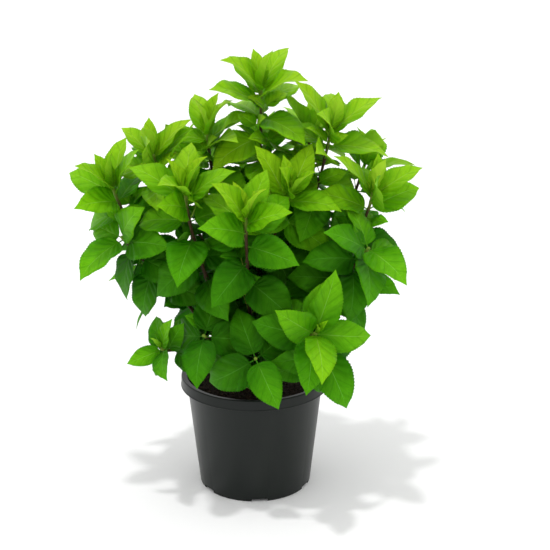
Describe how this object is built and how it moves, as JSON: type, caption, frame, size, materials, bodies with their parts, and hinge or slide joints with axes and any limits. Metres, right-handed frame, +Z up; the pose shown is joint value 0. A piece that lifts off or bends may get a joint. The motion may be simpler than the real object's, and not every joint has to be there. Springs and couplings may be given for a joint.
{
  "type": "potted panicle hydrangea",
  "caption": "Young leafy panicle hydrangea shrub in a round tapered black nursery pot filled with potting mix.",
  "frame": {"origin": "middle of the flat underside of the pot, where it stands", "axes": "+Z up the pot's axis to the crown, -Y to the front of the plant as pictured, +X to its right as pictured"},
  "size_m": [0.5155, 0.448, 0.666],
  "materials": {
    "pot": "black moulded plastic with a soft satin sheen",
    "potting_mix": "dark, moist, crumbly bark and peat mix",
    "bark": "thin red-brown young bark, paler and flaking on the old wood",
    "foliage": "soft matt leaves, yellow-green at the tips and deep green below"
  },
  "bodies": {
    "root": {"pot": "pot", "potting_mix": "potting_mix", "stock": "bark", "bough_centre": "bark", "bough_right_top": "bark", "bough_right": "bark", "bough_front_right": "bark", "bough_front": "bark", "bough_front_left": "bark", "bough_left": "bark", "bough_left_top": "bark", "bough_back_right": "bark", "bough_back": "bark", "bough_back_left": "bark", "foliage_centre": "foliage", "foliage_right_top": "foliage", "foliage_right": "foliage", "foliage_front_right": "foliage", "foliage_front": "foliage", "foliage_front_left": "foliage", "foliage_left": "foliage", "foliage_left_top": "foliage", "foliage_back_right": "foliage", "foliage_back": "foliage", "foliage_back_left": "foliage"}
  },
  "joints": []
}
